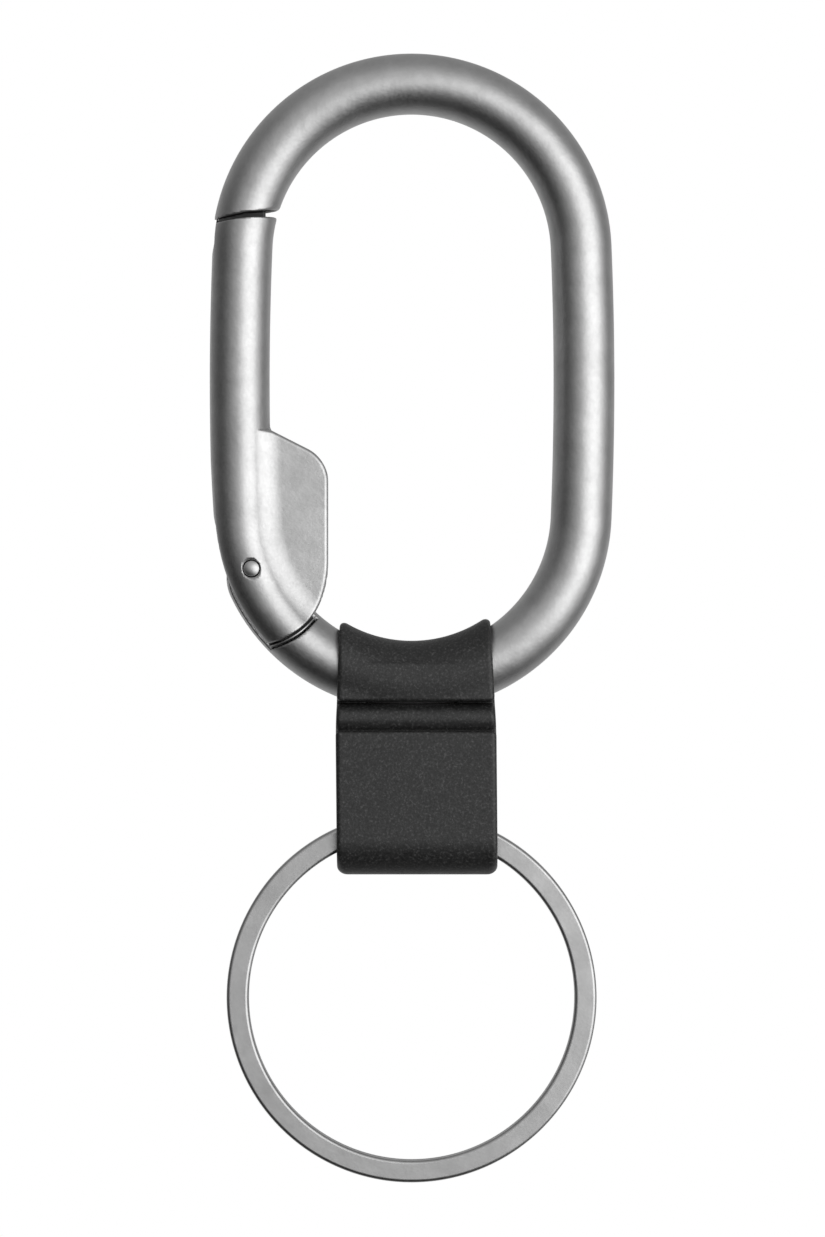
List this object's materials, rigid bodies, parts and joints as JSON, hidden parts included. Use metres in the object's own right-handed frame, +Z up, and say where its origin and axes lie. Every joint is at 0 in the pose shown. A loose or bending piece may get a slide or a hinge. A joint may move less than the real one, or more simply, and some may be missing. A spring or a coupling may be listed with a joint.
{
  "type": "carabiner key organiser",
  "caption": "Oval spring-gate carabiner with a moulded strap on its lower bend and a flat split ring for keys.",
  "frame": {"origin": "the hang point: the lowest point of the top bend's inner surface, where a hook or belt loop bears", "axes": "+Z up along the hanging object, +X from the gate's side to the plain side, +Y through the thickness"},
  "size_m": [0.036, 0.0072, 0.1],
  "materials": {
    "steel_bar": "bead-blasted satin",
    "pin_steel": "polished dome",
    "spring_steel": "drawn wire",
    "strap": "fine matte grain",
    "ring_steel": "satin, tumbled edges"
  },
  "bodies": {
    "body": {"carabiner_body": "steel_bar", "gate_pin": "pin_steel"},
    "gate": {"gate": "steel_bar", "gate_spring": "spring_steel"},
    "plunger": {"spring_plunger": "spring_steel"},
    "strap_top": {"strap_loop": "strap"},
    "strap_bottom": {"strap_eye": "strap"},
    "ring": {"split_ring": "ring_steel"}
  },
  "joints": [
    {"name": "gate_hinge", "type": "hinge", "parent": "body", "child": "gate", "pos_m": [-0.01414, 0, -0.04026], "axis": [0, 1, 0], "range_deg": [0, 28], "stiffness_Nm_per_rad": 0.0192, "springref_deg": -68.75},
    {"name": "plunger_slide", "type": "slide", "parent": "gate", "child": "plunger", "axis": [-0.1736, 0, 0.9848], "range_m": [0, 0.00079], "deforming": ["gate_spring"]},
    {"name": "strap_slide", "type": "hinge", "parent": "body", "child": "strap_top", "pos_m": [0, 0, -0.03514], "axis": [0, 1, 0], "range_deg": [-50, 7]},
    {"name": "strap_flex", "type": "hinge", "parent": "strap_top", "child": "strap_bottom", "pos_m": [0, 0, -0.0542], "axis": [1, 0, 0], "range_deg": [-25, 25], "stiffness_Nm_per_rad": 0.3},
    {"name": "ring_swing", "type": "hinge", "parent": "strap_bottom", "child": "ring", "pos_m": [0, 0, -0.0638], "axis": [1, 0, 0], "range_deg": [-90, 90]}
  ],
  "couplings": [
    {"joint": "plunger_slide", "follows": "gate_hinge", "m_per_rad": 0.0016}
  ]
}
